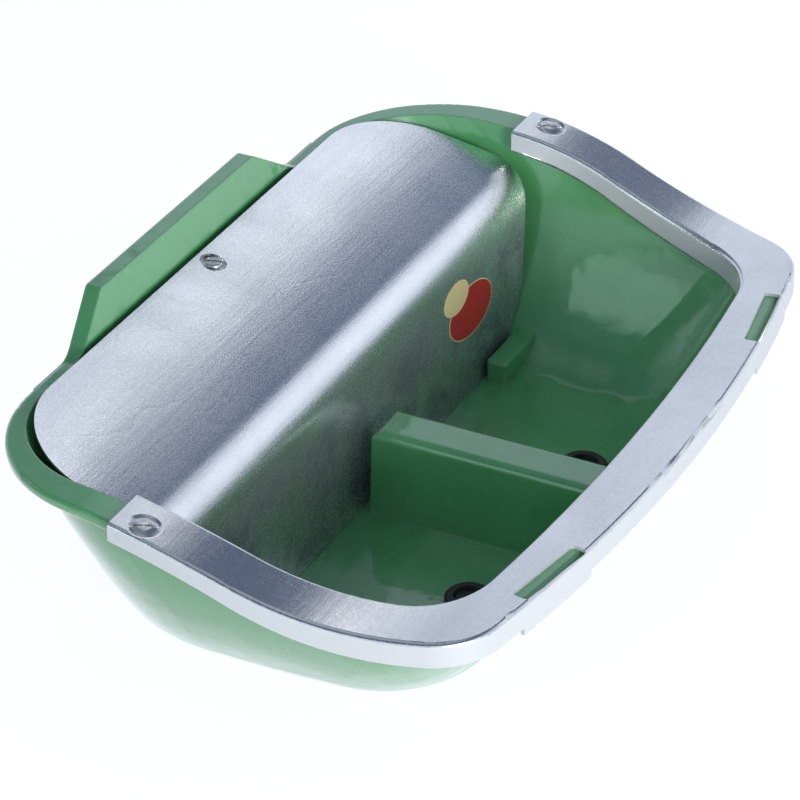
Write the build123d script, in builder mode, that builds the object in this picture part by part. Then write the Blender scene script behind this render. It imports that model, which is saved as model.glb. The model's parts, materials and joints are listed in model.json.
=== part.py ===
"""Livestock drinking bowl with a constant water level: an enamelled cast bowl with two drinking
compartments, a splash guard, a lift-off cover over the valve chamber, a float valve and drain plugs.

Frame: millimetres, +Z up, -Y towards the animal. The wall face is the plane Y = 0 and the origin
is on that face, midway between the two wall bolts.
"""
import os
from math import asin, cos, degrees, radians, sin, sqrt, tan

from build123d import *

# ---- bowl casting: heights -------------------------------------------------------------------
RIM_REAR_Z = 28.5          # top of the rim round the valve chamber
RIM_FRONT_Z = -7.0         # top of the rim at the drinking edge
FLOOR_Z = -85.0            # inside floor
WALL = 5.0                 # thickness of walls and floor
MID_Z = -35.0              # height at which the middle outline is given
RIM_THICK = 6.0            # thickness of the rim flange
DIP_START_Y = -71.0        # the rim leaves the rear level here
DIP_END_Y = -256.0         # and reaches the front level here

# ---- plan outlines: back y, half width, front y, back and front corner radius, front and side bow
RIM = (-8.0, 228.0, -292.0, 77.0, 35.0, 850.0, 340.0)
MOUTH = (-15.0, 209.0, -289.0, 64.0, 30.0, 850.0, 600.0)
MIDDLE = (-38.0, 195.5, -267.0, 80.0, 44.0, 850.0, 600.0)
FLOOR = (-42.0, 151.5, -235.0, 64.0, 58.0, 850.0, 600.0)
GUARD_EDGE = (-30.0, 202.5, -266.7, 60.0, 47.0, 1300.0, 300.0)
COVER = (-19.0, 203.0, -230.0, 52.0, 25.0, 850.0, 340.0)
WIDEST_Y = -131.0          # the sides bow out to here
FLOOR_FILLET = 50.0        # inside; the outside has this and the wall
RIM_EDGE_R = 2.2

# ---- back plate and wall fixing --------------------------------------------------------------
PLATE_TOP_Z = 51.0
PLATE_TOP_HALF = 78.0
PLATE_FOOT_HALF = 113.0
PLATE_FOOT_R = 22.0
PLATE_CORNER_R = 5.0
PLATE_THICK = 8.5          # the plate leans back from the rim to the wall face
PAD_HALF = 88.0            # half width of the mounting pad below the rim
PAD_THICK = 9.0
PAD_TOP_Z = 22.0
PAD_BOTTOM_Z = -42.0
PAD_CORNER_R = 12.0
PAD_RIB = 8.0
WALL_BOLT_SPACING = 120.0
WALL_BOLT_HOLE_R = 5.5
WALL_BOLT_BOSS_R = 13.0
WALL_BOLT_BOSS_LENGTH = 30.0
WALL_BOLT_SEAT_Y = -34.0   # flat seat for the bolt head, inside the bowl

# ---- partition and ledges ---------------------------------------------------------------------
PARTITION_TOP_Z = -37.5
PARTITION_HALF_TOP = 13.5
PARTITION_HALF_BASE = 17.0
PARTITION_EDGE_R = 5.0
PARTITION_GAP = 5.0        # from the cover's front face to the end of the partition
LEDGE_END_X = 127.0        # a ledge runs from here to the side wall
LEDGE_WIDTH = 13.0
LEDGE_HEIGHT = 13.0
LEDGE_GAP = 1.5            # from the cover's front face to a ledge

# ---- cover -----------------------------------------------------------------------------------
COVER_THICK = 1.5
COVER_FRONT_Y = -121.0     # at the foot
COVER_LEAN = 4.3           # degrees, the front wall's lean back from its foot
COVER_BACK_Z = 33.5        # top of the sheet at its back edge
COVER_SLOPE = 16.0         # degrees, falling to the front
COVER_BEND_R = 26.0
COVER_FLOOR_GAP = 0.3
COVER_WALL_GAP = 2.0       # from the cover's edges to the bowl's walls
COVER_SIDE = ((173.5, -90.0), (192.0, -10.0), (200.0, 9.0), (203.5, 14.0), (203.5, 60.0))
COVER_SCREW_Y = -28.0
COVER_SCREW_R = 2.5
COVER_HEAD_R = 5.0
COVER_HEAD_HIGH = 3.2
COVER_DIMPLE_R = 7.0
COVER_BOSS_R = 8.0
COVER_BOSS_DEPTH = 40.0
COVER_TAP_DEPTH = 16.0

# ---- splash guard ------------------------------------------------------------------------------
GUARD_THICK = 2.0
GUARD_GAP = 1.5            # from the rim's outer edge to the outer skirt
GUARD_OUTER_SKIRT = 7.0    # below the rim's top at the rear ends
GUARD_INNER_SKIRT = 10.6
GUARD_SKIRT_GROWTH = 4.0   # extra depth of both skirts at the front
GUARD_END_Y = -102.0       # square rear ends of the two arms
GUARD_EDGE_R = 2.4
SLOT_LENGTH = 50.0
SLOT_WIDTH = 8.5
SLOT_X = 130.5
SLOT_Y = -281.0
SLOT_TURN = 9.4            # degrees, along the bowed front
TAB_DEPTH = 4.0            # extra depth of the outer skirt below each slot
TAB_LENGTH = 58.0
GUARD_SCREW_X = 220.8
GUARD_SCREW_Y = -116.0
GUARD_SCREW_R = 3.0
GUARD_SCREW_LENGTH = 12.5
GUARD_HOLE_R = 3.4
DIMPLE_R = 8.5
DIMPLE_DEPTH = 3.2
SCREW_HEAD_R = 7.2
SCREW_CROWN = 1.2
SCREW_SLOT = 1.4
NUT_AF = 10.0
NUT_HIGH = 5.0
SEAT = 0.1                 # from the guard's sheet to the rim
THREAD_GAP = 0.05          # radial, screws in nuts and tapped holes

# ---- drain plugs -------------------------------------------------------------------------------
DRAIN_X = 68.0
DRAIN_Y = -208.5
DRAIN_HOLE_R = 10.0
DRAIN_BOSS_R = 17.0
DRAIN_SEAT_R = 14.5        # flat seat let into the curve of the floor
DRAIN_FIT = 0.05
PLUG_HEAD_R = 12.5
PLUG_HEAD_HIGH = 5.5
PLUG_PULL_R = 4.0
PLUG_TAPER = 3.0           # degrees

# ---- float valve -------------------------------------------------------------------------------
VALVE_Y = -84.0
VALVE_Z = -7.0
INLET_PAD_R = 18.5
INLET_PAD_IN = 183.0       # inner face of the boss in the right wall
INLET_PAD_OUT = 213.5      # outer face of the boss
INLET_BOSS_LENGTH = 60.0   # before the bowl's hollow is cut
INLET_THREAD_R = 12.0      # M24 x 1.5, through the wall and the back nut
INLET_END_R = 10.48        # the free end, G 1/2 for the water connector
INLET_HOLE_GAP = 0.4
INLET_BORE_R = 6.5
INLET_END_X = 245.5
GASKET_THICK = 2.0
GASKET_R = 16.0
VALVE_FLANGE_R = 16.0
VALVE_FLANGE_THICK = 4.0
VALVE_BODY_R = 11.5
VALVE_LENGTH = 46.0        # from the flange to the open end
CYLINDER_R = 7.0
PISTON_FIT = 0.05
PISTON_LENGTH = 20.0
PISTON_WASHER_R = 5.5
PISTON_WASHER_THICK = 3.0
WASHER_PROUD = 1.0
SHUT_GAP = 0.05
NOZZLE_LENGTH = 9.0
NOZZLE_BORE_R = 2.5
CAP_R = 13.5
CAP_LENGTH = 8.0
CAP_SEAL_THICK = 1.5
OUTLET_R = 3.0
BACK_NUT_AF = 30.0
BACK_NUT_THICK = 6.0

# ---- lever, arm and float ----------------------------------------------------------------------
LEVER_RISE = 17.5          # from the pivot up to the piston's axis
FLOAT_TRAVEL = 10.0        # degrees, from the dry rest to the shut valve
LEVER_THICK = 4.0
FINGER_R = 2.8
FINGER_GAP = 0.35
EAR_GAP = 0.4
EAR_THICK = 3.0
EAR_R = 5.0
PIVOT_R = 2.0
PIVOT_FIT = 0.05
ARM_R = 2.5
ARM_LENGTH = 163.0         # from the pivot to the middle of the float
ARM_DROP = 10.0            # degrees below level in the dry rest
FLOAT_LENGTH = 84.0
FLOAT_WIDTH = 48.0
FLOAT_HEIGHT = 34.0
FLOAT_EDGE_R = 12.0
ARM_NUT_AF = 9.0
ARM_NUT_THICK = 4.0

# ---- worked-out places -------------------------------------------------------------------------
BASE_Z = FLOOR_Z - WALL
REACH = 400.0              # beyond every outline, for cutting tools
DIP_RUN = DIP_START_Y - DIP_END_Y
DIP_FALL = RIM_REAR_Z - RIM_FRONT_Z
DIP_R = (DIP_RUN**2 + DIP_FALL**2) / (4 * DIP_FALL)
SCREW_TILT = degrees(asin((DIP_START_Y - GUARD_SCREW_Y) / DIP_R))
SCREW_Z = RIM_REAR_Z - DIP_R * (1 - cos(radians(SCREW_TILT)))
DIMPLE_SLOPE = DIMPLE_DEPTH / (DIMPLE_R - GUARD_HOLE_R)
CONE_TOP_R = DIMPLE_R + 0.6
CONE_FLOOR = SEAT - (CONE_TOP_R - GUARD_HOLE_R) * DIMPLE_SLOPE
SCREW_TOP = SEAT + GUARD_THICK - (DIMPLE_R - SCREW_HEAD_R) * DIMPLE_SLOPE
COVER_BOSS_TOP = (COVER_BACK_Z + (COVER_SCREW_Y - COVER_DIMPLE_R - COVER[0]) * tan(radians(COVER_SLOPE))
                  - COVER_THICK - 0.4)
FLANGE_X = INLET_PAD_IN - GASKET_THICK
SEAT_X = FLANGE_X - VALVE_FLANGE_THICK - NOZZLE_LENGTH
BODY_END_X = FLANGE_X - VALVE_FLANGE_THICK - VALVE_LENGTH
FINGER_TILT = FLOAT_TRAVEL / 2
STROKE = 2 * LEVER_RISE * sin(radians(FINGER_TILT))
PISTON_X = SEAT_X - SHUT_GAP - WASHER_PROUD - STROKE      # the piston's front face at rest
FINGER_X = PISTON_X - PISTON_LENGTH / 2
PIVOT_X = FINGER_X + STROKE / 2
PIVOT_Z = VALVE_Z - LEVER_RISE * cos(radians(FINGER_TILT))
FLOAT_X = PIVOT_X - ARM_LENGTH * cos(radians(ARM_DROP))
FLOAT_Z = PIVOT_Z - ARM_LENGTH * sin(radians(ARM_DROP))


def outline(size, height, grow=0.0):
    """A closed plan outline: straight back, bulging sides and front, four rounded corners."""
    back, half, front, back_r, front_r, front_bow, side_bow = size
    back, half, front, side_bow = back + grow, half + grow, front - grow, side_bow + grow

    def side_x(y):
        return half - side_bow + sqrt(side_bow**2 - (y - WIDEST_Y) ** 2)

    corner_y = front + side_x(front) ** 2 / (2 * (front_bow + grow))
    corner_x = side_x(corner_y)
    with BuildSketch(Plane.XY.offset(height)) as plan:
        with BuildLine():
            Line((-side_x(back), back), (side_x(back), back))
            ThreePointArc((side_x(back), back), (half, WIDEST_Y), (corner_x, corner_y))
            ThreePointArc((corner_x, corner_y), (0, front), (-corner_x, corner_y))
            ThreePointArc((-corner_x, corner_y), (-half, WIDEST_Y), (-side_x(back), back))
        make_face()
        fillet(plan.vertices().group_by(Axis.Y)[-1], back_r + grow)
        fillet(plan.vertices().group_by(Axis.Y)[0], front_r + grow)
    return plan.sketch


def below_rim(drop=0.0, growth=0.0):
    """Everything under the rim's top, lowered by drop, and by drop + growth at the front."""
    rear, front = RIM_REAR_Z - drop, RIM_FRONT_Z - drop - growth
    with BuildPart() as side:
        with BuildSketch(Plane.YZ):
            with BuildLine():
                top = Line((REACH, rear), (DIP_START_Y, rear))
                middle = ((DIP_START_Y + DIP_END_Y) / 2, (rear + front) / 2)
                fall = TangentArc(top @ 1, middle, tangent=top % 1)
                rise = TangentArc(fall @ 1, (DIP_END_Y, front), tangent=fall % 1)
                Polyline(rise @ 1, (-REACH, front), (-REACH, -REACH), (REACH, -REACH), top @ 0)
            make_face()
        extrude(amount=REACH, both=True)
    return side.part


def hollow(grow=0.0, bottom=FLOOR_Z):
    """The inside of the bowl as a solid, or with grow its outside."""
    with BuildPart() as inside:
        loft([outline(FLOOR, bottom, grow), outline(MIDDLE, MID_Z, grow), outline(MOUTH, RIM_REAR_Z, grow)])
        fillet(inside.faces().sort_by(Axis.Z)[0].edges(), FLOOR_FILLET + grow)
        extrude(outline(MOUTH, RIM_REAR_Z, grow), amount=12)
    return inside.part


def band(outer, inner, top, bottom, growth=0.0):
    """The ring between two plan outlines, between two depths under the rim's top."""
    with BuildPart() as ring:
        extrude(outer, amount=REACH, both=True)
        extrude(inner, amount=REACH, both=True, mode=Mode.SUBTRACT)
        add(below_rim(top), mode=Mode.INTERSECT)
        add(below_rim(bottom, growth), mode=Mode.SUBTRACT)
    return ring.part


def save(piece, name):
    piece.label = name
    export_step(piece, f"parts/{name}.step")


def screw_plane(side, lift=0.0):
    """A plane on the rim at a guard screw, its Z out of the sloping rim."""
    tilt = radians(SCREW_TILT)
    normal = Vector(0, -sin(tilt), cos(tilt))
    spot = Vector(side * GUARD_SCREW_X, GUARD_SCREW_Y, SCREW_Z) + normal * lift
    return Plane(origin=spot, x_dir=(1, 0, 0), z_dir=normal)


def across(x, y=VALVE_Y, z=VALVE_Z):
    """A plane across the valve's axis, its Z along +X."""
    return Plane(origin=(x, y, z), x_dir=(0, 1, 0), z_dir=(1, 0, 0))


def disc(plane, radius, length):
    """A cylinder from a plane along its Z."""
    with BuildPart() as piece:
        with BuildSketch(plane):
            Circle(radius)
        extrude(amount=length)
    return piece.part


def spun(plane, points):
    """A solid of revolution about a plane's Z from (radius, height) points."""
    with BuildPart() as piece:
        with BuildSketch(Plane(origin=plane.origin, x_dir=plane.x_dir, z_dir=-plane.y_dir)):
            Polygon(*points, align=None)
        revolve(axis=Axis(plane.origin, plane.z_dir))
    return piece.part


def block(x, y, z):
    """A box from three (low, high) pairs."""
    size = [high - low for low, high in (x, y, z)]
    with BuildPart() as piece:
        with Locations([(sum(x) / 2, sum(y) / 2, sum(z) / 2)]):
            Box(*size)
    return piece.part


# ---- bowl casting -------------------------------------------------------------------------------
def plate():
    """The back plate that rises from the rim and leans back to the wall face."""
    side = [(-PLATE_FOOT_HALF - 30, RIM_REAR_Z - RIM_THICK), (-PLATE_FOOT_HALF - 30, RIM_REAR_Z - 0.5),
            (-PLATE_FOOT_HALF, RIM_REAR_Z - 0.5), (-PLATE_TOP_HALF, PLATE_TOP_Z)]
    with BuildPart() as piece:
        with BuildSketch(Plane.XZ) as face:
            Polygon(*side, *[(-x, z) for x, z in reversed(side)], align=None)
            fillet(face.vertices().group_by(Axis.Y)[-1], PLATE_CORNER_R)
            feet = face.vertices().filter_by(lambda v: abs(v.Y - RIM_REAR_Z + 0.5) < 0.1)
            fillet(feet.filter_by(lambda v: abs(v.X) < PLATE_FOOT_HALF + 1), PLATE_FOOT_R)
        extrude(amount=2 * PLATE_THICK)
        with BuildSketch(Plane.YZ):
            Polygon((0, PLATE_TOP_Z), (RIM[0], RIM_REAR_Z), (RIM[0], RIM_REAR_Z - RIM_THICK),
                    (RIM[0] - PLATE_THICK, RIM_REAR_Z - RIM_THICK), (RIM[0] - PLATE_THICK, RIM_REAR_Z),
                    (-PLATE_THICK, PLATE_TOP_Z), align=None)
        extrude(amount=REACH, both=True, mode=Mode.INTERSECT)
    return piece.part


def pad():
    """The mounting pad under the rim, with a rib at each end and a boss round each bolt."""
    with BuildPart() as piece:
        with BuildSketch(Plane.XZ) as face:
            with Locations((0, (PAD_TOP_Z + PAD_BOTTOM_Z) / 2)):
                Rectangle(2 * PAD_HALF, PAD_TOP_Z - PAD_BOTTOM_Z)
            fillet(face.vertices().group_by(Axis.Y)[0], PAD_CORNER_R)
        extrude(amount=PAD_THICK)
        for side in (-1, 1):
            x = sorted((side * PAD_HALF, side * (PAD_HALF - PAD_RIB)))
            add(block(x, (-50, 0), (PAD_BOTTOM_Z + PAD_CORNER_R, PAD_TOP_Z)))
            add(disc(wall_bolt_plane(side), WALL_BOLT_BOSS_R, WALL_BOLT_BOSS_LENGTH))
    return piece.part


def rim_flange():
    """The rim, rounded along its outer edges."""
    with BuildPart() as piece:
        extrude(outline(RIM, 0), amount=REACH, both=True)
        add(below_rim(), mode=Mode.INTERSECT)
        add(below_rim(RIM_THICK), mode=Mode.SUBTRACT)
        fillet(piece.edges().filter_by(Axis.Z, reverse=True), RIM_EDGE_R)
    return piece.part


def partition():
    """The wall between the two drinking compartments, with a rounded top."""
    foot_y = COVER_FRONT_Y - PARTITION_GAP
    with BuildPart() as piece:
        with BuildSketch(Plane.XZ.offset(-foot_y)):
            with BuildLine():
                Polyline(
                    (-PARTITION_HALF_BASE, FLOOR_Z - 1),
                    (-PARTITION_HALF_TOP, PARTITION_TOP_Z),
                    (PARTITION_HALF_TOP, PARTITION_TOP_Z),
                    (PARTITION_HALF_BASE, FLOOR_Z - 1),
                    close=True,
                )
            make_face()
        extrude(amount=RIM[0] - RIM[2])
        top = piece.faces().sort_by(Axis.Z)[-1]
        fillet(top.edges(), PARTITION_EDGE_R)
    return piece.part


def ledge(side):
    """A low ledge along the cover's foot at one side wall."""
    y = COVER_FRONT_Y - LEDGE_GAP
    x = sorted((side * LEDGE_END_X, side * REACH))
    with BuildPart() as piece:
        add(block(x, (y - LEDGE_WIDTH, y), (FLOOR_Z - 1, FLOOR_Z + LEDGE_HEIGHT)))
        fillet(piece.edges().filter_by(Axis.Z), 3)
        fillet(piece.faces().sort_by(Axis.Z)[-1].edges(), 2)
    return piece.part


def inner_features():
    """What is cast on the inside of the walls and floor."""
    with BuildPart() as piece:
        add(partition())
        for side in (-1, 1):
            add(ledge(side))
            add(disc(wall_bolt_plane(side), WALL_BOLT_BOSS_R, -WALL_BOLT_SEAT_Y))
        add(disc(across(INLET_PAD_IN), INLET_PAD_R, INLET_BOSS_LENGTH))
        add(disc(Plane((0, COVER_SCREW_Y, COVER_BOSS_TOP - COVER_BOSS_DEPTH)), COVER_BOSS_R, COVER_BOSS_DEPTH))
        add(hollow(WALL / 2, FLOOR_Z - WALL / 2), mode=Mode.INTERSECT)
    return piece.part


def wall_bolt_plane(side):
    """A plane on the wall face at a wall bolt, its Z towards the animal."""
    return Plane(origin=(side * WALL_BOLT_SPACING / 2, 0, 0), x_dir=(1, 0, 0), z_dir=(0, -1, 0))


def guard_screw_cut(side):
    """The countersink and hole in the rim for a guard screw."""
    with BuildPart() as piece:
        add(spun(screw_plane(side), [(0, 1), (CONE_TOP_R + SEAT, 1), (CONE_TOP_R + SEAT, 0),
                                     (GUARD_HOLE_R, CONE_FLOOR - SEAT), (0, CONE_FLOOR - SEAT)]))
        add(disc(screw_plane(side, -RIM_THICK - 1), GUARD_HOLE_R, RIM_THICK + 1))
    return piece.part


with BuildPart() as bowl_casting:
    add(hollow(WALL, BASE_Z))
    add(rim_flange())
    add(pad())
    add(below_rim(), mode=Mode.INTERSECT)
    add(plate())
    add(disc(across(INLET_PAD_OUT - INLET_BOSS_LENGTH), INLET_PAD_R, INLET_BOSS_LENGTH))
    for side in (-1, 1):
        add(disc(Plane((side * DRAIN_X, DRAIN_Y, BASE_Z)), DRAIN_BOSS_R, WALL))
    add(hollow(), mode=Mode.SUBTRACT)
    add(inner_features())
    for side in (-1, 1):
        add(disc(wall_bolt_plane(side).offset(-1), WALL_BOLT_HOLE_R, 40), mode=Mode.SUBTRACT)
        add(disc(Plane((side * DRAIN_X, DRAIN_Y, BASE_Z - 1)), DRAIN_HOLE_R, WALL + 2), mode=Mode.SUBTRACT)
        add(disc(Plane((side * DRAIN_X, DRAIN_Y, FLOOR_Z)), DRAIN_SEAT_R, 10), mode=Mode.SUBTRACT)
        add(guard_screw_cut(side), mode=Mode.SUBTRACT)
    add(disc(across(INLET_PAD_IN - 1), INLET_THREAD_R + INLET_HOLE_GAP, 40), mode=Mode.SUBTRACT)
    add(disc(Plane((0, COVER_SCREW_Y, COVER_BOSS_TOP - COVER_TAP_DEPTH)), COVER_SCREW_R + THREAD_GAP,
             COVER_TAP_DEPTH + 4), mode=Mode.SUBTRACT)
save(bowl_casting.part, "bowl_casting")


# ---- splash guard -------------------------------------------------------------------------------
def tab(side):
    """The deeper part of the outer skirt under a slot."""
    with BuildPart() as piece:
        add(band(outline(RIM, 0, GUARD_GAP + GUARD_THICK), outline(RIM, 0, GUARD_GAP), 0,
                 GUARD_OUTER_SKIRT + GUARD_SKIRT_GROWTH + TAB_DEPTH))
        with Locations(Location((side * SLOT_X, SLOT_Y, 0), (0, 0, side * SLOT_TURN))):
            Box(TAB_LENGTH, 60, REACH, mode=Mode.INTERSECT)
    return piece.part


def guard_ring():
    """The guard as a full ring: a top sheet with a rounded fold and a skirt along each edge."""
    outer, inner = outline(RIM, 0, GUARD_GAP + GUARD_THICK), outline(GUARD_EDGE, 0)
    under = outline(RIM, 0, GUARD_GAP), outline(GUARD_EDGE, 0, GUARD_THICK)
    with BuildPart() as piece:
        add(band(outer, inner, -SEAT - GUARD_THICK, GUARD_INNER_SKIRT, GUARD_SKIRT_GROWTH))
        top = piece.edges().filter_by(Axis.Z, reverse=True).filter_by(
            lambda e: e.center().Z > RIM_FRONT_Z - SEAT)
        fillet(top, GUARD_EDGE_R)
        add(band(*under, -SEAT, REACH / 2), mode=Mode.SUBTRACT)
        with BuildPart(mode=Mode.SUBTRACT):
            add(band(outer, under[0], 0, REACH / 2))
            add(below_rim(GUARD_OUTER_SKIRT, GUARD_SKIRT_GROWTH), mode=Mode.INTERSECT)
    return piece.part


with BuildPart() as splash_guard:
    add(guard_ring())
    add(block((-REACH, REACH), (GUARD_END_Y, REACH), (-REACH, REACH)), mode=Mode.SUBTRACT)
    for side in (-1, 1):
        add(tab(side))
        with BuildSketch(Plane((side * SLOT_X, SLOT_Y, -60))):
            with Locations(Location((0, 0), side * SLOT_TURN)):
                RectangleRounded(SLOT_LENGTH, SLOT_WIDTH, 2)
        extrude(amount=REACH, mode=Mode.SUBTRACT)
        add(spun(screw_plane(side), [(0, CONE_FLOOR), (GUARD_HOLE_R, CONE_FLOOR), (CONE_TOP_R, SEAT),
                                     (CONE_TOP_R, SEAT + GUARD_THICK), (0, SEAT + GUARD_THICK)]))
        add(spun(screw_plane(side), [(0, CONE_FLOOR - 1), (GUARD_HOLE_R, CONE_FLOOR - 1),
                                     (GUARD_HOLE_R, SEAT + GUARD_THICK - DIMPLE_DEPTH),
                                     (DIMPLE_R, SEAT + GUARD_THICK), (DIMPLE_R, 10), (0, 10)]),
            mode=Mode.SUBTRACT)
save(splash_guard.part, "splash_guard")

with BuildPart() as guard_screws:
    for side in (-1, 1):
        add(spun(screw_plane(side), [
            (0, SCREW_TOP + SCREW_CROWN), (SCREW_HEAD_R * 0.5, SCREW_TOP + SCREW_CROWN * 0.8),
            (SCREW_HEAD_R * 0.85, SCREW_TOP + SCREW_CROWN * 0.35), (SCREW_HEAD_R, SCREW_TOP),
            (GUARD_SCREW_R, SCREW_TOP - (SCREW_HEAD_R - GUARD_SCREW_R) * DIMPLE_SLOPE),
            (GUARD_SCREW_R, -GUARD_SCREW_LENGTH), (0, -GUARD_SCREW_LENGTH)]))
        with BuildSketch(screw_plane(side, SCREW_TOP)):
            Rectangle(SCREW_SLOT, 4 * SCREW_HEAD_R, rotation=35)
        extrude(amount=5, mode=Mode.SUBTRACT)
save(guard_screws.part, "guard_screws")

with BuildPart() as guard_nuts:
    for side in (-1, 1):
        with BuildSketch(screw_plane(side, -RIM_THICK - NUT_HIGH)):
            RegularPolygon(NUT_AF / 2, 6, major_radius=False, rotation=30)
            Circle(GUARD_SCREW_R + THREAD_GAP, mode=Mode.SUBTRACT)
        extrude(amount=NUT_HIGH)
save(guard_nuts.part, "guard_nuts")


# ---- cover --------------------------------------------------------------------------------------
def under_cover(inset=0.0):
    """Everything under the cover's outer surface, moved in by inset, down to its foot."""
    slope, lean = radians(COVER_SLOPE), radians(COVER_LEAN)
    back = (COVER[0], COVER_BACK_Z - inset / cos(slope))
    foot = (COVER_FRONT_Y + inset / cos(lean), FLOOR_Z + COVER_FLOOR_GAP)
    rise = (back[1] - foot[1] + (foot[0] - back[0]) * tan(slope)) / (1 - tan(lean) * tan(slope))
    bend = (foot[0] + rise * tan(lean), foot[1] + rise)
    with BuildPart() as side:
        with BuildSketch(Plane.YZ):
            with BuildLine():
                FilletPolyline(back, bend, foot, radius=COVER_BEND_R - inset)
                Polyline(foot, (COVER[0], foot[1]), back)
            make_face()
        extrude(amount=REACH, both=True)
    return side.part


def cover_dimple():
    """The pressed seat for the cover's screw: a cup let into the sheet, open below for the screw."""
    radius = COVER_DIMPLE_R + COVER_THICK
    with BuildPart() as piece:
        add(under_cover())
        add(disc(Plane((0, COVER_SCREW_Y, COVER_BOSS_TOP)), radius, 40), mode=Mode.INTERSECT)
        add(disc(Plane((0, COVER_SCREW_Y, COVER_BOSS_TOP + COVER_THICK)), COVER_DIMPLE_R, 40),
            mode=Mode.SUBTRACT)
        add(disc(Plane((0, COVER_SCREW_Y, 0)), COVER_SCREW_R + 0.3, 60), mode=Mode.SUBTRACT)
    return piece.part


with BuildPart() as cover:
    add(hollow(-COVER_WALL_GAP))
    extrude(outline(COVER, 0), amount=REACH, both=True, mode=Mode.INTERSECT)
    with BuildSketch(Plane.XZ.offset(-REACH)):
        Polygon(*[(-x, z) for x, z in COVER_SIDE], *[(x, z) for x, z in reversed(COVER_SIDE)], align=None)
    extrude(amount=2 * REACH, mode=Mode.INTERSECT)
    add(under_cover(), mode=Mode.INTERSECT)
    add(under_cover(COVER_THICK), mode=Mode.SUBTRACT)
    add(disc(Plane((0, COVER_SCREW_Y, 0)), COVER_DIMPLE_R + COVER_THICK / 2, REACH), mode=Mode.SUBTRACT)
    add(cover_dimple())
save(cover.part, "cover")

with BuildPart() as cover_screw:
    head_z = COVER_BOSS_TOP + COVER_THICK
    add(disc(Plane((0, COVER_SCREW_Y, head_z)), COVER_HEAD_R, COVER_HEAD_HIGH))
    fillet(cover_screw.faces().sort_by(Axis.Z)[-1].edges(), 1.2)
    add(disc(Plane((0, COVER_SCREW_Y, head_z - COVER_THICK - 12)), COVER_SCREW_R, COVER_THICK + 12))
    with Locations((0, COVER_SCREW_Y, head_z + COVER_HEAD_HIGH)):
        Box(1.2, 4 * COVER_HEAD_R, 3, rotation=(0, 0, 20), mode=Mode.SUBTRACT)
save(cover_screw.part, "cover_screw")


# ---- drain plugs --------------------------------------------------------------------------------
def drain_plug(side):
    """A rubber plug: a domed head on the floor, a tapered stem in the hole and a recess to grip."""
    stem_r = DRAIN_HOLE_R - DRAIN_FIT
    tail_r = stem_r - (WALL - 2) * tan(radians(PLUG_TAPER))
    top = FLOOR_Z + PLUG_HEAD_HIGH
    return spun(Plane(origin=(side * DRAIN_X, DRAIN_Y, 0), x_dir=(1, 0, 0), z_dir=(0, 0, 1)), [
        (0, top - 2), (PLUG_PULL_R + 3, top - 2), (PLUG_PULL_R + 4, top),
        (PLUG_HEAD_R - 1, top), (PLUG_HEAD_R, top - 1), (PLUG_HEAD_R, FLOOR_Z),
        (stem_r, FLOOR_Z), (stem_r, FLOOR_Z - 2), (tail_r, BASE_Z + 0.5), (0, BASE_Z + 0.5)])


with BuildPart() as drain_plug_left:
    add(drain_plug(-1))
save(drain_plug_left.part, "drain_plug_left")

with BuildPart() as drain_plug_right:
    add(drain_plug(1))
save(drain_plug_right.part, "drain_plug_right")


# ---- float valve --------------------------------------------------------------------------------
with BuildPart() as valve_body:
    add(disc(across(FLANGE_X - VALVE_FLANGE_THICK), VALVE_FLANGE_R, VALVE_FLANGE_THICK))
    add(disc(across(FLANGE_X - 1), INLET_THREAD_R, INLET_PAD_OUT + BACK_NUT_THICK - FLANGE_X + 1))
    add(disc(across(INLET_PAD_OUT), INLET_END_R, INLET_END_X - INLET_PAD_OUT))
    add(disc(across(BODY_END_X), VALVE_BODY_R, VALVE_LENGTH + 1))
    for side in (-1, 1):
        inner_y = VALVE_Y + side * (LEVER_THICK / 2 + EAR_GAP)
        y = sorted((inner_y, inner_y + side * EAR_THICK))
        ear = Plane(origin=(PIVOT_X, y[0], PIVOT_Z), x_dir=(1, 0, 0), z_dir=(0, 1, 0))
        add(disc(ear, EAR_R, EAR_THICK))
        add(block((PIVOT_X - EAR_R, PIVOT_X + EAR_R), y, (PIVOT_Z, VALVE_Z - CYLINDER_R)))
    add(disc(across(BODY_END_X - 1), CYLINDER_R, SEAT_X + NOZZLE_LENGTH - BODY_END_X + 1), mode=Mode.SUBTRACT)
    add(disc(across(SEAT_X), INLET_BORE_R, REACH), mode=Mode.SUBTRACT)
    slot_x = (FINGER_X - FINGER_R - 1.5, FINGER_X + FINGER_R + STROKE + 1.5)
    slot_y = (VALVE_Y - LEVER_THICK / 2 - EAR_GAP, VALVE_Y + LEVER_THICK / 2 + EAR_GAP)
    add(block(slot_x, slot_y, (PIVOT_Z, VALVE_Z)), mode=Mode.SUBTRACT)
    outlet = Plane(origin=(SEAT_X - OUTLET_R + 0.5, VALVE_Y, VALVE_Z), z_dir=(0, 0, -1))
    add(disc(outlet, OUTLET_R, 20), mode=Mode.SUBTRACT)
    pin = Plane(origin=(PIVOT_X, VALVE_Y - 20, PIVOT_Z), x_dir=(1, 0, 0), z_dir=(0, 1, 0))
    add(disc(pin, PIVOT_R, 40), mode=Mode.SUBTRACT)
save(valve_body.part, "valve_body")

with BuildPart() as valve_nozzle:
    add(disc(across(SEAT_X), CYLINDER_R - THREAD_GAP, NOZZLE_LENGTH))
    chamfer(valve_nozzle.faces().sort_by(Axis.X)[0].edges(), 2.5)
    add(disc(across(SEAT_X - 1), NOZZLE_BORE_R, NOZZLE_LENGTH + 2), mode=Mode.SUBTRACT)
save(valve_nozzle.part, "valve_nozzle")

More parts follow.
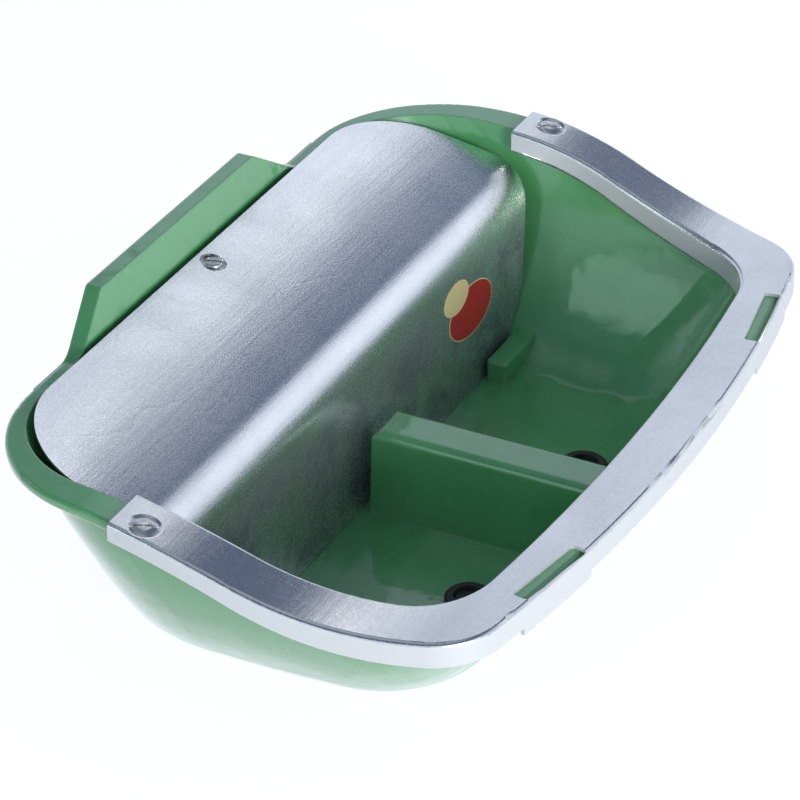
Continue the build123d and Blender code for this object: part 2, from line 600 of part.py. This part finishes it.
with BuildPart() as valve_piston:
    add(disc(across(PISTON_X - PISTON_LENGTH), CYLINDER_R - PISTON_FIT, PISTON_LENGTH))
    recess = PISTON_WASHER_THICK - WASHER_PROUD
    add(disc(across(PISTON_X - recess), PISTON_WASHER_R, recess + 1), mode=Mode.SUBTRACT)
    half = FINGER_R + FINGER_GAP
    add(block((FINGER_X - half, FINGER_X + half), slot_y, (VALVE_Z - 20, VALVE_Z + half)), mode=Mode.SUBTRACT)
save(valve_piston.part, "valve_piston")

with BuildPart() as piston_washer:
    add(disc(across(PISTON_X - recess), PISTON_WASHER_R - THREAD_GAP, PISTON_WASHER_THICK))
save(piston_washer.part, "piston_washer")

with BuildPart() as valve_cap:
    add(disc(across(BODY_END_X - CAP_SEAL_THICK - 2), CAP_R, CAP_LENGTH))
    fillet(valve_cap.faces().sort_by(Axis.X)[0].edges(), 1)
    add(disc(across(BODY_END_X - CAP_SEAL_THICK), VALVE_BODY_R + THREAD_GAP, CAP_LENGTH), mode=Mode.SUBTRACT)
save(valve_cap.part, "valve_cap")

with BuildPart() as cap_seal:
    add(disc(across(BODY_END_X - CAP_SEAL_THICK), VALVE_BODY_R - 0.3, CAP_SEAL_THICK))
    add(disc(across(BODY_END_X - CAP_SEAL_THICK - 1), CYLINDER_R + 0.5, CAP_SEAL_THICK + 2), mode=Mode.SUBTRACT)
save(cap_seal.part, "cap_seal")

with BuildPart() as inlet_gasket:
    add(disc(across(FLANGE_X), GASKET_R, GASKET_THICK))
    add(disc(across(FLANGE_X - 1), INLET_THREAD_R + INLET_HOLE_GAP, GASKET_THICK + 2), mode=Mode.SUBTRACT)
save(inlet_gasket.part, "inlet_gasket")

with BuildPart() as inlet_back_nut:
    with BuildSketch(across(INLET_PAD_OUT)):
        RegularPolygon(BACK_NUT_AF / 2, 6, major_radius=False)
        Circle(INLET_THREAD_R + THREAD_GAP, mode=Mode.SUBTRACT)
    extrude(amount=BACK_NUT_THICK)
save(inlet_back_nut.part, "inlet_back_nut")

with BuildPart() as lever_pivot_pin:
    reach = LEVER_THICK / 2 + EAR_GAP + EAR_THICK + 0.5
    add(disc(Plane(origin=(PIVOT_X, VALVE_Y - reach, PIVOT_Z), x_dir=(1, 0, 0), z_dir=(0, 1, 0)),
             PIVOT_R - PIVOT_FIT, 2 * reach))
save(lever_pivot_pin.part, "lever_pivot_pin")


# ---- float arm and float ------------------------------------------------------------------------
def lever_plane(turn):
    """A plane at the pivot in the lever's own plane, its X turned up from +X by turn degrees."""
    a = radians(turn)
    return Plane(origin=(PIVOT_X, VALVE_Y, PIVOT_Z), x_dir=(cos(a), 0, sin(a)), z_dir=(0, -1, 0))


def along_arm(distance):
    """A plane across the arm at a distance from the pivot, its Z away from the pivot."""
    a = radians(ARM_DROP)
    spot = (PIVOT_X - distance * cos(a), VALVE_Y, PIVOT_Z - distance * sin(a))
    return Plane(origin=spot, x_dir=(0, 1, 0), z_dir=(-cos(a), 0, -sin(a)))


with BuildPart() as float_arm:
    with BuildSketch(lever_plane(90 + FINGER_TILT)):
        with Locations((LEVER_RISE / 2, 0)):
            Rectangle(LEVER_RISE, 2 * FINGER_R - 1.6)
        with Locations((LEVER_RISE, 0)):
            Circle(FINGER_R)
        Circle(EAR_R - 0.5)
    extrude(amount=LEVER_THICK / 2, both=True)
    with BuildSketch(lever_plane(180 + ARM_DROP)):
        with Locations((9, 0)):
            Rectangle(18, 8)
    extrude(amount=LEVER_THICK / 2, both=True)
    add(disc(along_arm(14), ARM_R, ARM_LENGTH + FLOAT_LENGTH / 2 + ARM_NUT_THICK + 2 - 14))
    add(disc(lever_plane(0).offset(-20), PIVOT_R, 40), mode=Mode.SUBTRACT)
save(float_arm.part, "float_arm")

with BuildPart() as float_body:
    with BuildSketch(along_arm(ARM_LENGTH - FLOAT_LENGTH / 2)):
        RectangleRounded(FLOAT_WIDTH, FLOAT_HEIGHT, FLOAT_EDGE_R)
    extrude(amount=FLOAT_LENGTH)
    fillet(float_body.faces().filter_by(GeomType.PLANE).edges().filter_by(
        lambda e: abs((e.center() - along_arm(ARM_LENGTH).origin).length) > FLOAT_LENGTH / 2), 6)
    add(disc(along_arm(10), ARM_R + THREAD_GAP, REACH), mode=Mode.SUBTRACT)
save(float_body.part, "float_body")

with BuildPart() as float_nuts:
    for start in (-FLOAT_LENGTH / 2 - ARM_NUT_THICK, FLOAT_LENGTH / 2):
        with BuildSketch(along_arm(ARM_LENGTH + start)):
            RegularPolygon(ARM_NUT_AF / 2, 6, major_radius=False)
            Circle(ARM_R + THREAD_GAP, mode=Mode.SUBTRACT)
        extrude(amount=ARM_NUT_THICK)
save(float_nuts.part, "float_nuts")
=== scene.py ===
"""The looks of a livestock drinking bowl: green enamel, galvanised sheet, screws, rubber and brass.

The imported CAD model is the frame, and every CAD node is shown in place. This script gives each material
slot a procedural material, adds the plain oval label on the cover, and sets the studio and camera.
Lengths are in metres and angles in degrees.
"""
import json
from math import cos, pi, radians, sin

import bmesh
import bpy
from mathutils import Matrix, Vector


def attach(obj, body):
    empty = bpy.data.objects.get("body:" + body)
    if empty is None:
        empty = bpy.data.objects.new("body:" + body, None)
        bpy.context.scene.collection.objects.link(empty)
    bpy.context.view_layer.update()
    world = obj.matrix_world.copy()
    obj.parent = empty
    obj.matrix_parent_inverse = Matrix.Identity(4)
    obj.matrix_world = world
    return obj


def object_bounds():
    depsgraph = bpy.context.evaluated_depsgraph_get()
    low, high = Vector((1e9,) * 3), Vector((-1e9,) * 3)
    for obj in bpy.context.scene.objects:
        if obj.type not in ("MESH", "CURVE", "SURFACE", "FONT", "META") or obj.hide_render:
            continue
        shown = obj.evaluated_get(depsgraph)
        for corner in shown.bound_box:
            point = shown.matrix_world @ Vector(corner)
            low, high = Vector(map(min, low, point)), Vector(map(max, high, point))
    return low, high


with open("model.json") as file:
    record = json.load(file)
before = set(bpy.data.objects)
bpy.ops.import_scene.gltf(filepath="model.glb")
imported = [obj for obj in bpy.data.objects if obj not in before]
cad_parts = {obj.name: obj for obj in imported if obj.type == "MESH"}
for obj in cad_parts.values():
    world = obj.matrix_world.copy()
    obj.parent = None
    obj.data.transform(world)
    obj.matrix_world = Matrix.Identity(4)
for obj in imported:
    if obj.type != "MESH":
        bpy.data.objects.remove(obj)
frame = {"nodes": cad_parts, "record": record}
CAD_BOX = [list(corner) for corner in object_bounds()]

# ---- camera, as the photograph was taken -----------------------------------------------------------
CAMERA_AT = (-1.41607, -0.86899, 0.96834)
CAMERA_LENS = 165.14
CAMERA_SENSOR = 36          # its lens and sensor are in millimetres
CAMERA_CLIP = (0.05, 100)
CAMERA_AZIMUTH = -62.62
CAMERA_ELEVATION = 31.87
CAMERA_ROLL = -0.60

# ---- the cover, from the CAD source ----------------------------------------------------------------
COVER_FOOT = Vector((0, -0.121, -0.0847))  # the front wall's outer face, at its foot
COVER_LEAN = 4.3            # of the front wall, back from its foot
# Its top bows in the shading alone, by COVER_CROWN times the square of the distance from COVER_CROWN_Y.
COVER_CROWN = 1.5
COVER_CROWN_Y = -0.072
COVER_SHADE_AND_STAIN_Z = (0.002, -0.022)   # where its painted shade and stains begin, and are full
COVER_SHADE_AND_STAIN_Y = (-0.123, -0.122)  # which keeps them off what lies further forward

# ---- the label, placed across and up from the middle of the front wall's foot ----------------------
RED_OVAL_AT = (0.1192, 0.0477)
RED_OVAL_HALF = (0.0252, 0.0139)
RED_OVAL_EDGE = 0.0007      # the cream edge round the red oval
CREAM_OVAL_AT = (0.1036, 0.0625)
CREAM_OVAL_HALF = (0.0148, 0.0090)
FILM_THICK = 0.00012
FILM_ROUND = 0.0002         # how far a film's rounded edge reaches in
FILM_SIDE = 0.6             # the share of its thickness below that edge
FILM_LIFTS = (0.00003, 0.00012, 0.00021)  # each oval's underside, off the wall
OVAL_STEPS = 96

# ---- the studio ------------------------------------------------------------------------------------
AIM = Vector((0, -0.15, -0.02))  # the middle of the bowl, which the lamps face
LAMP_DISTANCE = 1.8
FLOOR_HALF = 30
FLOOR_GAP = 0.0004          # from the object's lowest point to the floor
FLOOR_SEEN = 0.70           # the share of even white where the floor is seen, the rest takes the shadow
FLOOR_GLOW = 1.29           # brings that mix to white


# ---- colours ---------------------------------------------------------------------------------------
def grey(value):
    return (value, value, value, 1)


ENAMEL_DEEP = (0.098, 0.375, 0.132, 1)
ENAMEL_MID = (0.128, 0.440, 0.168, 1)
ENAMEL_PALE = (0.15, 0.46, 0.18, 1)
ZINC_STREAK = (0.50, 0.51, 0.54, 1)
# Painted shade and stains: the darker grey of the cover's front wall.
ZINC_SHADE_AND_STAIN = (0.27, 0.28, 0.31, 1)
# Painted light: the pale grey that the guard's upright faces take.
ZINC_PAINTED_LIGHT_SIDES = grey(0.79)
SKY = (0.70, 0.78, 0.93, 1)
SOFTBOX = (1.14, 1.19, 1.27, 1)
SHADE = (0.09, 0.12, 0.20, 1)
CEILING = (0.36, 0.40, 0.48, 1)
WINDOW = (1.00, 1.42, 1.34, 1)
SIDE_BOARD = (0.24, 0.27, 0.35, 1)
REAR_BOARD = (0.10, 0.12, 0.15, 1)
FLOOR_REFLECTED = (0.97, 1.03, 1.10, 1)
FLOOR_WHITE = grey(0.85)


# ---- node helpers ----------------------------------------------------------------------------------
class Nodes:
    """Short calls that build one node tree. A value given to them is a number, a colour or a socket."""

    def __init__(self, tree):
        self.tree = tree
        self.place = None

    def add(self, kind, inputs=None, out=0, **settings):
        """A node with some settings and inputs. Gives one of its outputs, or the node if it has none."""
        node = self.tree.nodes.new("ShaderNode" + kind)
        for key, value in settings.items():
            setattr(node, key, value)
        for key, value in (inputs or {}).items():
            self.put(node.inputs[key], value)
        return node.outputs[out] if len(node.outputs) else node

    def put(self, socket, value):
        """Links a socket to another's output, or sets its value."""
        if isinstance(value, bpy.types.NodeSocket):
            self.tree.links.new(value, socket)
        else:
            socket.default_value = value

    def feed(self, shader, **values):
        """Puts a value into each named socket of a shader, with _ for the spaces in its name."""
        for key, value in values.items():
            self.put(shader.inputs[key.replace("_", " ")], value)

    def xyz(self, vector):
        """The three parts of a vector."""
        node = self.tree.nodes.new("ShaderNodeSeparateXYZ")
        self.put(node.inputs[0], vector)
        return [node.outputs[axis] for axis in "XYZ"]

    def stretched(self, scale, turn=(0, 0, 0)):
        """Object coordinates stretched by a scale along each axis."""
        return self.add("Mapping", {"Vector": self.place, "Scale": scale, "Rotation": turn})

    def noise(self, scale, detail=3.0, rough=0.5, distort=0.0, place=None):
        return self.add("TexNoise", {"Vector": place or self.place, "Scale": scale, "Detail": detail,
                                     "Roughness": rough, "Distortion": distort})

    def cells(self, scale, place=None, out="Color", **settings):
        """Voronoi cells: a colour for each, or another of the node's outputs."""
        return self.add("TexVoronoi", {"Vector": place or self.place, "Scale": scale}, out, **settings)

    def remap(self, value, low, high, to_low=0.0, to_high=1.0):
        return self.add("MapRange", {"Value": value, "From Min": low, "From Max": high,
                                     "To Min": to_low, "To Max": to_high})

    def math(self, operation, a, b=0.0):
        return self.add("Math", {0: a, 1: b}, operation=operation)

    def product(self, first, *others):
        for other in others:
            first = self.math("MULTIPLY", first, other)
        return first

    def mix(self, factor, a, b):
        """A mix of two colours: a Mix node's sockets for colours are its inputs 6 and 7 and output 2."""
        return self.add("Mix", {0: factor, 6: a, 7: b}, 2, data_type="RGBA")

    def bump(self, height, strength, distance, normal=None):
        inputs = {"Height": height, "Strength": strength, "Distance": distance}
        if normal:
            inputs["Normal"] = normal
        return self.add("Bump", inputs)


def new_material(name, **constants):
    """A material, its nodes and its shader, with constants on the shader's sockets."""
    material = bpy.data.materials.new(name)
    material.use_nodes = True
    shader = material.node_tree.nodes["Principled BSDF"]
    nodes = Nodes(material.node_tree)
    nodes.place = nodes.add("TexCoord", out="Object")
    nodes.feed(shader, **constants)
    return material, nodes, shader


# ---- materials -------------------------------------------------------------------------------------
def green_enamel():
    """Thick glossy enamel: broad and fine shifts of green, soft edges and a slight orange peel."""
    material, n, shader = new_material("green_enamel", IOR=1.52, Coat_Weight=1.0, Coat_Roughness=0.06,
                                       Coat_IOR=1.6)
    broad = n.remap(n.noise(9, 4, 0.6), 0.35, 0.65)
    fine = n.remap(n.noise(160, 3, 0.6), 0.3, 0.7)
    colour = n.mix(broad, ENAMEL_DEEP, ENAMEL_MID)
    soft_edges = n.add("Bevel", {"Radius": 0.0016}, samples=4)
    peel = n.bump(n.noise(58, 2, 0.4), 0.10, 0.004, soft_edges)
    n.feed(shader, Base_Color=n.mix(n.product(fine, 0.22), colour, ENAMEL_PALE),
           Roughness=n.remap(n.noise(38, 4, 0.65), 0.3, 0.7, 0.16, 0.30),
           Normal=n.bump(n.noise(240, 2, 0.5), 0.05, 0.0012, peel),
           Coat_Normal=peel)
    return material


def galvanised_steel(name, rough_range, shade, relief, crown=0.0, matt_and_painted_light_sides=0.0):
    """Hot-dip zinc: clouds, fine spangle, faint rolling streaks and a few very shallow creases.

    shade is its brightness and relief the strength of its bumps. crown bows the shading of the cover's
    top, and matt_and_painted_light_sides makes the upright faces rougher, with painted light: paler and
    less metallic. The painted shade and stains lie on the cover's front wall.
    """
    smooth, coarse = rough_range
    material, n, shader = new_material(name, Metallic=1.0)
    _, place_y, place_z = n.xyz(n.place)
    cloud = n.remap(n.noise(11, 5, 0.62, 0.6), 0.36, 0.66)
    grain = n.remap(n.noise(1100, 2, 0.7), 0.32, 0.68)
    spangle = n.add("SeparateColor", {"Color": n.cells(620)})
    streak = n.remap(n.noise(1, 5, 0.6, place=n.stretched((14, 240, 240))), 0.42, 0.62)
    cross = n.remap(n.noise(1, 4, 0.6, place=n.stretched((300, 10, 60), (0.2, 0, 0.5))), 0.55, 0.70)
    # Painted shade and stains: the front wall darker and less metallic below the bend, mottled at random.
    shade_and_stain = n.product(n.remap(place_z, *COVER_SHADE_AND_STAIN_Z), n.remap(place_y, *COVER_SHADE_AND_STAIN_Y),
                      n.remap(n.noise(30, 6, 0.7, 0.4), 0.36, 0.60, 0.30, 1.0))
    _, _, normal_z = n.xyz(n.add("TexCoord", out="Normal"))
    # Painted light on the upright faces: paler and less metallic. They are also rougher.
    upright = n.product(n.remap(n.math("ABSOLUTE", normal_z), 0.35, 0.15), matt_and_painted_light_sides)

    colour = n.mix(cloud, grey(shade * 0.89), grey(shade))
    colour = n.mix(n.product(spangle, 0.25), colour, grey(min(1, shade * 1.12)))
    colour = n.mix(n.product(streak, 0.07), colour, ZINC_STREAK)
    colour = n.mix(n.product(shade_and_stain, 0.9), colour, ZINC_SHADE_AND_STAIN)
    rough = n.math("ADD", n.remap(cloud, 0, 1, coarse, smooth), n.product(grain, 0.10))
    rough = n.math("ADD", rough, n.product(upright, 0.22))

    past = n.math("SUBTRACT", place_y, COVER_CROWN_Y)
    bow = n.bump(n.product(past, past, -crown), 1.0, 1.0)
    wander = n.mix(0.06, n.place, n.add("TexNoise", {"Vector": n.place, "Scale": 22.0}, "Color"))
    crease = n.cells(5.5, wander, "Distance", feature="DISTANCE_TO_EDGE")
    dent = n.bump(n.remap(crease, 0.0, 0.010), 0.016 * relief, 0.002, bow)
    wave = n.bump(n.noise(13, 2, 0.5), 0.07 * relief, 0.004, dent)
    rolled = n.bump(streak, 0.05 * relief, 0.0004, wave)
    # The upright faces take painted light here: a paler grey and less metal.
    n.feed(shader, Base_Color=n.mix(upright, colour, ZINC_PAINTED_LIGHT_SIDES),
           Metallic=n.math("SUBTRACT", n.remap(shade_and_stain, 0, 1, 1.0, 0.66), n.product(upright, 0.68)),
           Roughness=n.math("ADD", rough, n.product(cross, 0.02)),
           Normal=n.bump(grain, 0.09 * relief, 0.0003, rolled))
    return material


def bright_steel():
    """Bright zinc plate on screws, nuts and the pivot pin, worn in patches."""
    material, n, shader = new_material("bright_steel", Metallic=1.0)
    worn = n.remap(n.noise(260, 4, 0.65), 0.38, 0.64)
    turned = n.noise(1, 2, 0.5, place=n.stretched((900, 900, 3000)))
    n.feed(shader, Base_Color=n.mix(worn, (0.52, 0.50, 0.49, 1), (0.86, 0.85, 0.84, 1)),
           Roughness=n.remap(worn, 0, 1, 0.34, 0.18),
           Normal=n.bump(turned, 0.18, 0.0003))
    return material


def black_rubber():
    """Matt rubber with a little dust."""
    material, n, shader = new_material("black_rubber", IOR=1.5)
    dust = n.remap(n.noise(180, 4, 0.6), 0.45, 0.75)
    n.feed(shader, Base_Color=n.mix(dust, (0.012, 0.012, 0.013, 1), (0.045, 0.045, 0.043, 1)),
           Roughness=n.remap(dust, 0, 1, 0.48, 0.72),
           Normal=n.bump(n.noise(1400, 2), 0.25, 0.0003))
    return material


def brass():
    """Turned brass that has begun to tarnish."""
    material, n, shader = new_material("brass", Metallic=1.0)
    tarnish = n.remap(n.noise(60, 5, 0.65), 0.40, 0.68)
    turned = n.noise(1, 2, 0.5, place=n.stretched((2600, 260, 260)))
    n.feed(shader, Base_Color=n.mix(tarnish, (0.80, 0.58, 0.25, 1), (0.50, 0.33, 0.13, 1)),
           Roughness=n.remap(tarnish, 0, 1, 0.24, 0.46),
           Normal=n.bump(turned, 0.15, 0.0003))
    return material


def moulded_plastic(name, colour, shade):
    material, n, shader = new_material(name, IOR=1.49)
    cloud = n.remap(n.noise(30, 4, 0.6), 0.3, 0.7)
    n.feed(shader, Base_Color=n.mix(cloud, colour, shade),
           Roughness=n.remap(n.noise(210, 3), 0.3, 0.7, 0.32, 0.50),
           Normal=n.bump(n.noise(900, 2), 0.15, 0.0003))
    return material


def printed_vinyl(name, colour, shade):
    """A printed label's film: even colour with a little fading, glossy and very slightly uneven."""
    material, n, shader = new_material(name, IOR=1.47, Coat_Weight=0.4, Coat_Roughness=0.12)
    fading = n.remap(n.noise(70, 4, 0.6), 0.3, 0.7)
    n.feed(shader, Base_Color=n.mix(fading, colour, shade),
           Roughness=n.remap(n.noise(300, 2), 0.3, 0.7, 0.28, 0.42),
           Normal=n.bump(n.noise(120, 2), 0.08, 0.0006))
    return material


MATERIALS = {
    "green_enamel": green_enamel(),
    # Painted light: the cover's zinc is set brighter than the guard's, the same zinc lit differently.
    "galvanised_steel": galvanised_steel("galvanised_steel", rough_range=(0.18, 0.24), shade=0.97,
                                         relief=1.0, crown=COVER_CROWN),
    "bright_steel": bright_steel(),
    "black_rubber": black_rubber(),
    "brass": brass(),
    "white_plastic": moulded_plastic("white_plastic", (0.80, 0.79, 0.75, 1), (0.70, 0.69, 0.64, 1)),
    "red_plastic": moulded_plastic("red_plastic", (0.52, 0.030, 0.020, 1), (0.40, 0.020, 0.014, 1)),
}
# The guard's darker copy of the same zinc is painted shade. Its upright faces take painted light.
GUARD_STEEL = galvanised_steel("galvanised_guard", rough_range=(0.15, 0.20), shade=0.80, relief=0.55,
                               matt_and_painted_light_sides=1.0)
for row in frame["record"]["subparts"]:
    node = frame["nodes"][row["node"]]
    node.data.materials.clear()
    node.data.materials.append(MATERIALS[row["material_slot"]])
frame["nodes"]["splash_guard"].data.materials[0] = GUARD_STEEL


# ---- the cover's label: two plain ovals, the red one with a cream edge -----------------------------
def oval(name, place, half, lift, material, grow=0.0):
    """A thin oval of film on the cover's front wall, with a rounded edge. It rides on the cover.

    place and half are across and up the wall, lift is off it, and grow makes the oval larger all round.
    """
    across, up = place
    half_width, half_height = (size + grow for size in half)
    lean = radians(COVER_LEAN)
    along = Vector((1, 0, 0))
    upward = Vector((0, sin(lean), cos(lean)))
    out = Vector((0, -cos(lean), sin(lean)))
    centre = COVER_FOOT + along * across + upward * up + out * lift
    mesh = bmesh.new()
    rings = []
    for inset, height in ((0.0, 0.0), (0.0, FILM_THICK * FILM_SIDE), (FILM_ROUND, FILM_THICK)):
        ring = []
        for i in range(OVAL_STEPS):
            turn = 2 * pi * i / OVAL_STEPS
            ring.append(mesh.verts.new(centre + out * height
                                       + along * ((half_width - inset) * cos(turn))
                                       + upward * ((half_height - inset) * sin(turn))))
        rings.append(ring)
    for low, high in zip(rings, rings[1:]):
        for i in range(OVAL_STEPS):
            j = (i + 1) % OVAL_STEPS
            mesh.faces.new((low[i], low[j], high[j], high[i]))
    mesh.faces.new(rings[-1])
    mesh.faces.new(rings[0][::-1])
    bmesh.ops.recalc_face_normals(mesh, faces=mesh.faces)
    data = bpy.data.meshes.new(name)
    mesh.to_mesh(data)
    mesh.free()
    data.materials.append(material)
    piece = bpy.data.objects.new(name, data)
    bpy.context.scene.collection.objects.link(piece)
    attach(piece, "cover")


LABEL_RED = printed_vinyl("label_red", (0.56, 0.016, 0.022, 1), (0.46, 0.012, 0.018, 1))
LABEL_CREAM = printed_vinyl("label_cream", (0.86, 0.70, 0.36, 1), (0.80, 0.64, 0.31, 1))
oval("label_red_edge", RED_OVAL_AT, RED_OVAL_HALF, FILM_LIFTS[0], LABEL_CREAM, RED_OVAL_EDGE)
oval("label_red_oval", RED_OVAL_AT, RED_OVAL_HALF, FILM_LIFTS[1], LABEL_RED)
oval("label_cream_oval", CREAM_OVAL_AT, CREAM_OVAL_HALF, FILM_LIFTS[2], LABEL_CREAM)


# ---- studio ----------------------------------------------------------------------------------------
def studio_world():
    """A pale studio: white where it is seen, and soft grey, blue and dark areas for the metal to mirror."""
    world = bpy.data.worlds.new("studio")
    bpy.context.scene.world = world
    world.use_nodes = True
    n = Nodes(world.node_tree)
    n.tree.nodes.clear()
    x, y, z = n.xyz(n.add("TexCoord", out="Generated"))

    def area(*ramps):
        """An area of the sky. Each ramp is an axis, its value at the area's edge and where it is full."""
        return n.product(*(n.remap(*ramp) for ramp in ramps))

    softbox = area((y, 0.09, 0.15), (y, 0.36, 0.27), (z, 0.575, 0.62))
    softbox_cut = area((x, 0.76, 0.73), (y, 0.22, 0.28))
    dark_strip = area((y, -0.40, -0.30), (y, 0.15, 0.12), (z, 0.44, 0.54))
    dark_side = area((z, 0.52, 0.64), (x, 0.55, 0.40))
    dark_top = area((z, 0.74, 0.84))
    ceiling = area((z, 0.88, 0.95))
    window = area((x, -0.53, -0.60), (y, 0.60, 0.53), (y, 0.16, 0.24), (z, 0.28, 0.32), (z, 0.74, 0.66))
    side_board = area((x, 0.745, 0.715), (y, 0.33, 0.42), (z, 0.44, 0.50), (x, 0.40, 0.50))
    rear_board = area((y, 0.56, 0.62), (x, -0.25, -0.35))

    dark = n.math("MAXIMUM", n.math("MAXIMUM", dark_strip, dark_side), dark_top)
    sky = n.mix(n.product(softbox, n.math("SUBTRACT", 1.0, softbox_cut)), SKY, SOFTBOX)
    sky = n.mix(dark, sky, n.mix(ceiling, SHADE, CEILING))
    sky = n.mix(window, sky, WINDOW)
    sky = n.mix(side_board, sky, SIDE_BOARD)
    sky = n.mix(rear_board, sky, REAR_BOARD)
    seen = n.add("LightPath", out="Is Camera Ray")
    background = n.add("Background", {"Color": n.mix(seen, sky, grey(1)), "Strength": 1.0})
    n.add("OutputWorld", {"Surface": background})


def studio_floor():
    """A large white floor that keeps a faint shadow."""
    low = CAD_BOX[0][2] - FLOOR_GAP
    corners = [(x * FLOOR_HALF, y * FLOOR_HALF, low) for x, y in ((-1, -1), (1, -1), (1, 1), (-1, 1))]
    mesh = bpy.data.meshes.new("floor")
    mesh.from_pydata(corners, [], [(0, 1, 2, 3)])
    floor = bpy.data.objects.new("floor", mesh)
    bpy.context.scene.collection.objects.link(floor)
    material = bpy.data.materials.new("floor")
    material.use_nodes = True
    n = Nodes(material.node_tree)
    n.tree.nodes.clear()
    paths = n.tree.nodes.new("ShaderNodeLightPath")
    seen = n.math("MAXIMUM", paths.outputs["Is Camera Ray"], paths.outputs["Is Glossy Ray"])
    tint = n.mix(paths.outputs["Is Camera Ray"], FLOOR_REFLECTED, grey(1))
    diffuse = n.add("BsdfDiffuse", {"Color": FLOOR_WHITE})
    glow = n.add("Emission", {"Color": tint, "Strength": FLOOR_GLOW})
    surface = n.add("MixShader", {0: n.product(seen, FLOOR_SEEN), 1: diffuse, 2: glow})
    n.add("OutputMaterial", {"Surface": surface})
    mesh.materials.append(material)


def area_light(name, direction, size, power):
    """A square soft lamp that faces the bowl's middle."""
    data = bpy.data.lights.new(name, "AREA")
    data.size, data.energy = size, power
    light = bpy.data.objects.new(name, data)
    bpy.context.scene.collection.objects.link(light)
    towards = Vector(direction).normalized()
    light.location = AIM + towards * LAMP_DISTANCE
    light.rotation_mode = "QUATERNION"
    light.rotation_quaternion = towards.to_track_quat("Z", "Y")


studio_world()
studio_floor()
area_light("key", direction=(-0.52, -0.84, 0.14), size=0.6, power=16.0)
area_light("crest", direction=(0.74, -0.57, 0.36), size=0.7, power=0.30)

# ---- camera ----------------------------------------------------------------------------------------
azimuth, elevation, roll = (radians(v) for v in (CAMERA_AZIMUTH, CAMERA_ELEVATION, CAMERA_ROLL))
back = Vector((sin(azimuth) * cos(elevation), -cos(azimuth) * cos(elevation), sin(elevation)))
right = Vector((cos(azimuth), sin(azimuth), 0))
up = back.cross(right)
right, up = right * cos(roll) + up * sin(roll), up * cos(roll) - right * sin(roll)
lens = bpy.data.cameras.new("camera")
lens.lens, lens.sensor_width = CAMERA_LENS, CAMERA_SENSOR
lens.clip_start, lens.clip_end = CAMERA_CLIP
camera = bpy.data.objects.new("camera", lens)
bpy.context.scene.collection.objects.link(camera)
turn = Matrix((right, up, back)).transposed().to_4x4()
camera.matrix_world = Matrix.Translation(CAMERA_AT) @ turn
bpy.context.scene.camera = camera
bpy.context.scene.view_settings.view_transform = "Standard"
